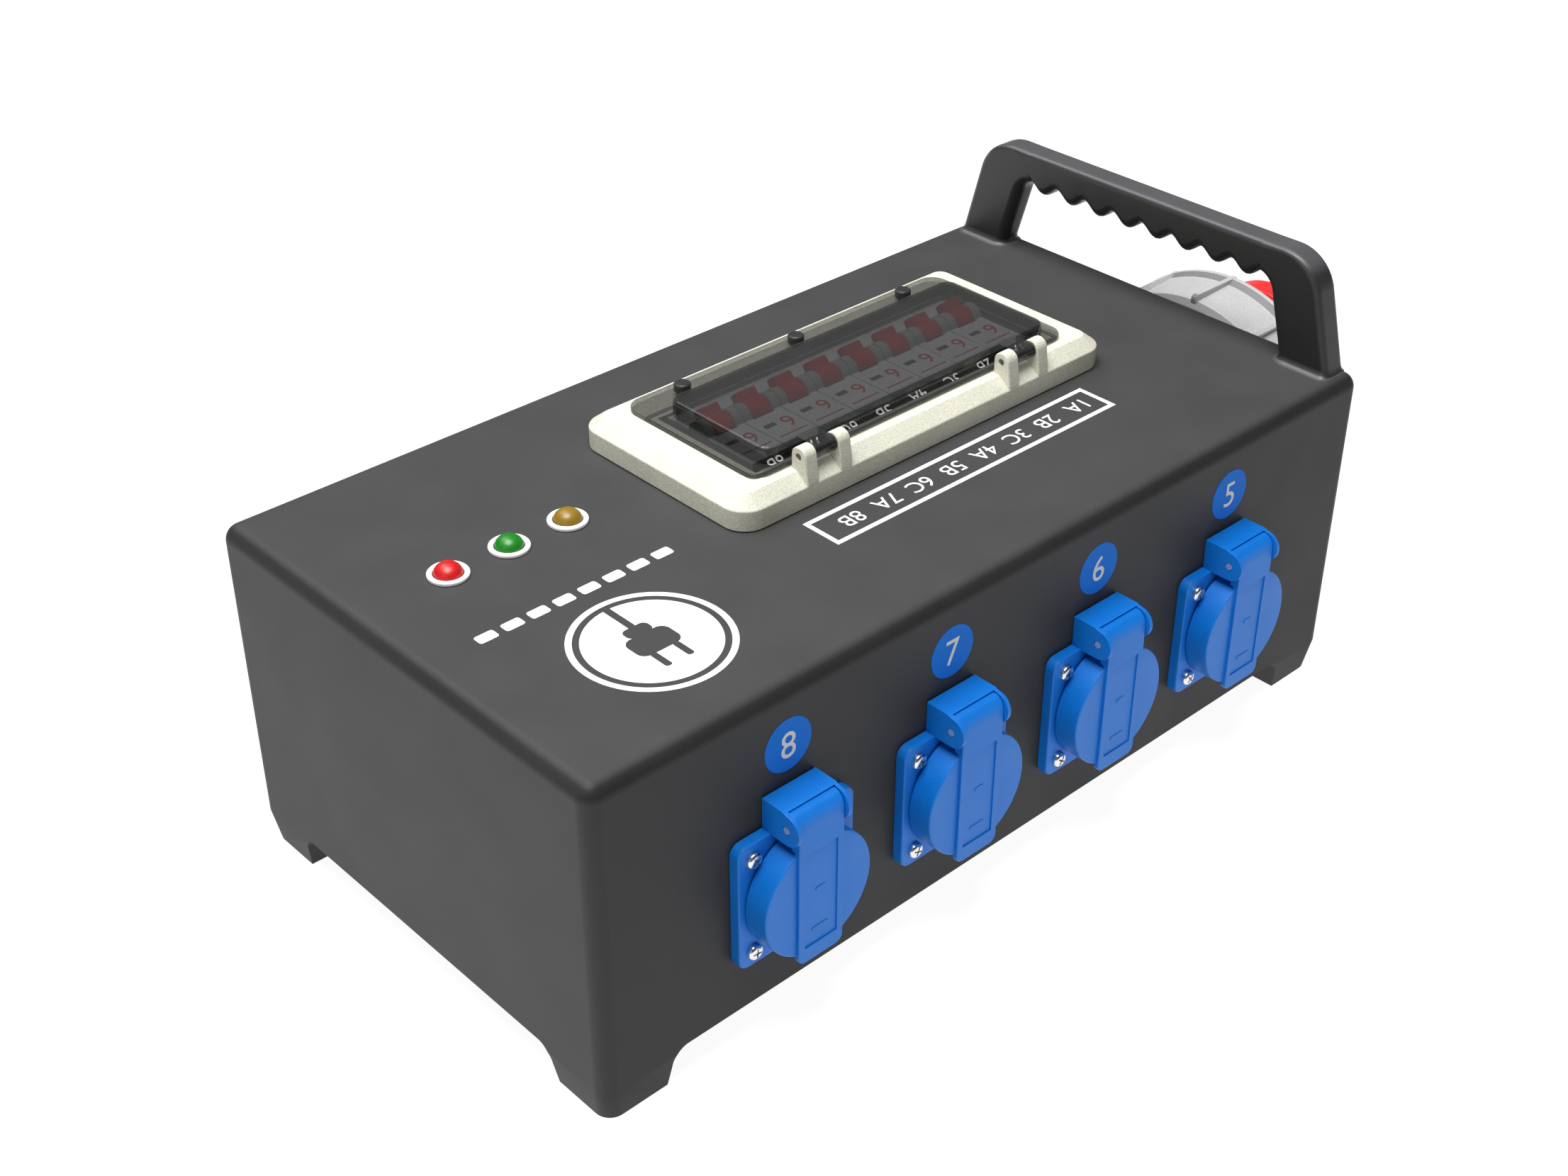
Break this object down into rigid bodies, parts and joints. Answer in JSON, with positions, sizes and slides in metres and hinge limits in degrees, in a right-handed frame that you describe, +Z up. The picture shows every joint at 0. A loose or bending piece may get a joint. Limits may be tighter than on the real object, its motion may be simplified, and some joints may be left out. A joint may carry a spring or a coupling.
{
  "type": "portable power distribution box",
  "caption": "Moulded power distribution box with lidded side sockets, a hinged smoky breaker window, indicator lamps, a carry handle and an industrial plug inlet.",
  "frame": {"origin": "centre of the whole object's footprint, on the surface that its feet stand on", "axes": "+X to the handle and inlet end, +Z up, the window's hinge on the -Y side"},
  "size_m": [0.464, 0.2346, 0.18],
  "materials": {
    "case_plastic": "fine moulded grain, dark grey",
    "handle_plastic": "satin near-black",
    "cream_plastic": "fine grain, cream",
    "gasket_rubber": "matte grey",
    "smoky_plastic": "transparent, smoke tinted, polished",
    "steel": "bright",
    "black_plastic": "black",
    "breaker_plastic": "light grey",
    "lever_plastic": "red",
    "rail_steel": "zinc plated",
    "white_plastic": "white",
    "lens_red": "faceted, translucent red",
    "lens_green": "faceted, translucent green",
    "lens_amber": "faceted, translucent amber",
    "blue_plastic": "fine grain, signal blue",
    "grey_plastic": "fine grain, light grey",
    "red_plastic": "red",
    "brass": "bright"
  },
  "bodies": {
    "case": {"case_shell": "case_plastic", "base_plate": "case_plastic", "carry_handle": "handle_plastic", "window_base": "cream_plastic", "window_gasket": "gasket_rubber", "window_pin_left": "steel", "window_pin_right": "steel", "label_strip": "black_plastic", "breaker_1": "breaker_plastic", "breaker_2": "breaker_plastic", "breaker_3": "breaker_plastic", "breaker_4": "breaker_plastic", "breaker_5": "breaker_plastic", "breaker_6": "breaker_plastic", "breaker_7": "breaker_plastic", "breaker_8": "breaker_plastic", "din_rail": "rail_steel", "lamp_bezel_red": "white_plastic", "lamp_lens_red": "lens_red", "lamp_bezel_green": "white_plastic", "lamp_lens_green": "lens_green", "lamp_bezel_amber": "white_plastic", "lamp_lens_amber": "lens_amber", "socket_housing_1": "blue_plastic", "socket_housing_2": "blue_plastic", "socket_housing_3": "blue_plastic", "socket_housing_4": "blue_plastic", "socket_housing_5": "blue_plastic", "socket_housing_6": "blue_plastic", "socket_housing_7": "blue_plastic", "socket_housing_8": "blue_plastic", "inlet_housing": "grey_plastic", "inlet_shroud": "red_plastic", "inlet_pin_1": "brass", "inlet_pin_2": "brass", "inlet_pin_3": "brass", "inlet_pin_4": "brass", "inlet_pin_5": "brass", "terminal_block": "white_plastic"},
    "window_cover": {"window_lid": "smoky_plastic", "lid_stud_1": "black_plastic", "lid_stud_2": "black_plastic", "lid_stud_3": "black_plastic"},
    "toggle_1": {"lever_1": "lever_plastic"},
    "toggle_2": {"lever_2": "lever_plastic"},
    "toggle_3": {"lever_3": "lever_plastic"},
    "toggle_4": {"lever_4": "lever_plastic"},
    "toggle_5": {"lever_5": "lever_plastic"},
    "toggle_6": {"lever_6": "lever_plastic"},
    "toggle_7": {"lever_7": "lever_plastic"},
    "toggle_8": {"lever_8": "lever_plastic"},
    "flap_1": {"socket_lid_1": "blue_plastic"},
    "flap_2": {"socket_lid_2": "blue_plastic"},
    "flap_3": {"socket_lid_3": "blue_plastic"},
    "flap_4": {"socket_lid_4": "blue_plastic"},
    "flap_5": {"socket_lid_5": "blue_plastic"},
    "flap_6": {"socket_lid_6": "blue_plastic"},
    "flap_7": {"socket_lid_7": "blue_plastic"},
    "flap_8": {"socket_lid_8": "blue_plastic"},
    "locking_ring": {"inlet_ring": "grey_plastic"}
  },
  "joints": [
    {"name": "window_cover_hinge", "type": "hinge", "parent": "case", "child": "window_cover", "pos_m": [-0.017, -0.0239, 0.153], "axis": [1, 0, 0], "range_deg": [0, 110]},
    {"name": "toggle_1_pivot", "type": "hinge", "parent": "case", "child": "toggle_1", "pos_m": [0.0458, 0.0195, 0.146], "axis": [1, 0, 0], "range_deg": [0, 80]},
    {"name": "toggle_2_pivot", "type": "hinge", "parent": "case", "child": "toggle_2", "pos_m": [0.0282, 0.0195, 0.146], "axis": [1, 0, 0], "range_deg": [0, 80]},
    {"name": "toggle_3_pivot", "type": "hinge", "parent": "case", "child": "toggle_3", "pos_m": [0.0106, 0.0195, 0.146], "axis": [1, 0, 0], "range_deg": [0, 80]},
    {"name": "toggle_4_pivot", "type": "hinge", "parent": "case", "child": "toggle_4", "pos_m": [-0.007, 0.0195, 0.146], "axis": [1, 0, 0], "range_deg": [0, 80]},
    {"name": "toggle_5_pivot", "type": "hinge", "parent": "case", "child": "toggle_5", "pos_m": [-0.0246, 0.0195, 0.146], "axis": [1, 0, 0], "range_deg": [0, 80]},
    {"name": "toggle_6_pivot", "type": "hinge", "parent": "case", "child": "toggle_6", "pos_m": [-0.0422, 0.0195, 0.146], "axis": [1, 0, 0], "range_deg": [0, 80]},
    {"name": "toggle_7_pivot", "type": "hinge", "parent": "case", "child": "toggle_7", "pos_m": [-0.0598, 0.0195, 0.146], "axis": [1, 0, 0], "range_deg": [0, 80]},
    {"name": "toggle_8_pivot", "type": "hinge", "parent": "case", "child": "toggle_8", "pos_m": [-0.0774, 0.0195, 0.146], "axis": [1, 0, 0], "range_deg": [0, 80]},
    {"name": "flap_1_hinge", "type": "hinge", "parent": "case", "child": "flap_1", "pos_m": [0.066, 0.1115, 0.0918], "axis": [1, 0, 0], "range_deg": [0, 105], "stiffness_Nm_per_rad": 0.004, "springref_deg": -28.65},
    {"name": "flap_2_hinge", "type": "hinge", "parent": "case", "child": "flap_2", "pos_m": [-0.0073, 0.1115, 0.0918], "axis": [1, 0, 0], "range_deg": [0, 105], "stiffness_Nm_per_rad": 0.004, "springref_deg": -28.65},
    {"name": "flap_3_hinge", "type": "hinge", "parent": "case", "child": "flap_3", "pos_m": [-0.0807, 0.1115, 0.0918], "axis": [1, 0, 0], "range_deg": [0, 105], "stiffness_Nm_per_rad": 0.004, "springref_deg": -28.65},
    {"name": "flap_4_hinge", "type": "hinge", "parent": "case", "child": "flap_4", "pos_m": [-0.154, 0.1115, 0.0918], "axis": [1, 0, 0], "range_deg": [0, 105], "stiffness_Nm_per_rad": 0.004, "springref_deg": -28.65},
    {"name": "flap_5_hinge", "type": "hinge", "parent": "case", "child": "flap_5", "pos_m": [0.066, -0.1115, 0.0918], "axis": [-1, 0, 0], "range_deg": [0, 105], "stiffness_Nm_per_rad": 0.004, "springref_deg": -28.65},
    {"name": "flap_6_hinge", "type": "hinge", "parent": "case", "child": "flap_6", "pos_m": [-0.0073, -0.1115, 0.0918], "axis": [-1, 0, 0], "range_deg": [0, 105], "stiffness_Nm_per_rad": 0.004, "springref_deg": -28.65},
    {"name": "flap_7_hinge", "type": "hinge", "parent": "case", "child": "flap_7", "pos_m": [-0.0807, -0.1115, 0.0918], "axis": [-1, 0, 0], "range_deg": [0, 105], "stiffness_Nm_per_rad": 0.004, "springref_deg": -28.65},
    {"name": "flap_8_hinge", "type": "hinge", "parent": "case", "child": "flap_8", "pos_m": [-0.154, -0.1115, 0.0918], "axis": [-1, 0, 0], "range_deg": [0, 105], "stiffness_Nm_per_rad": 0.004, "springref_deg": -28.65},
    {"name": "locking_ring_turn", "type": "hinge", "parent": "case", "child": "locking_ring", "pos_m": [0.179, 0, 0.062], "axis": [1, 0, 0], "range_deg": [0, 60]}
  ]
}
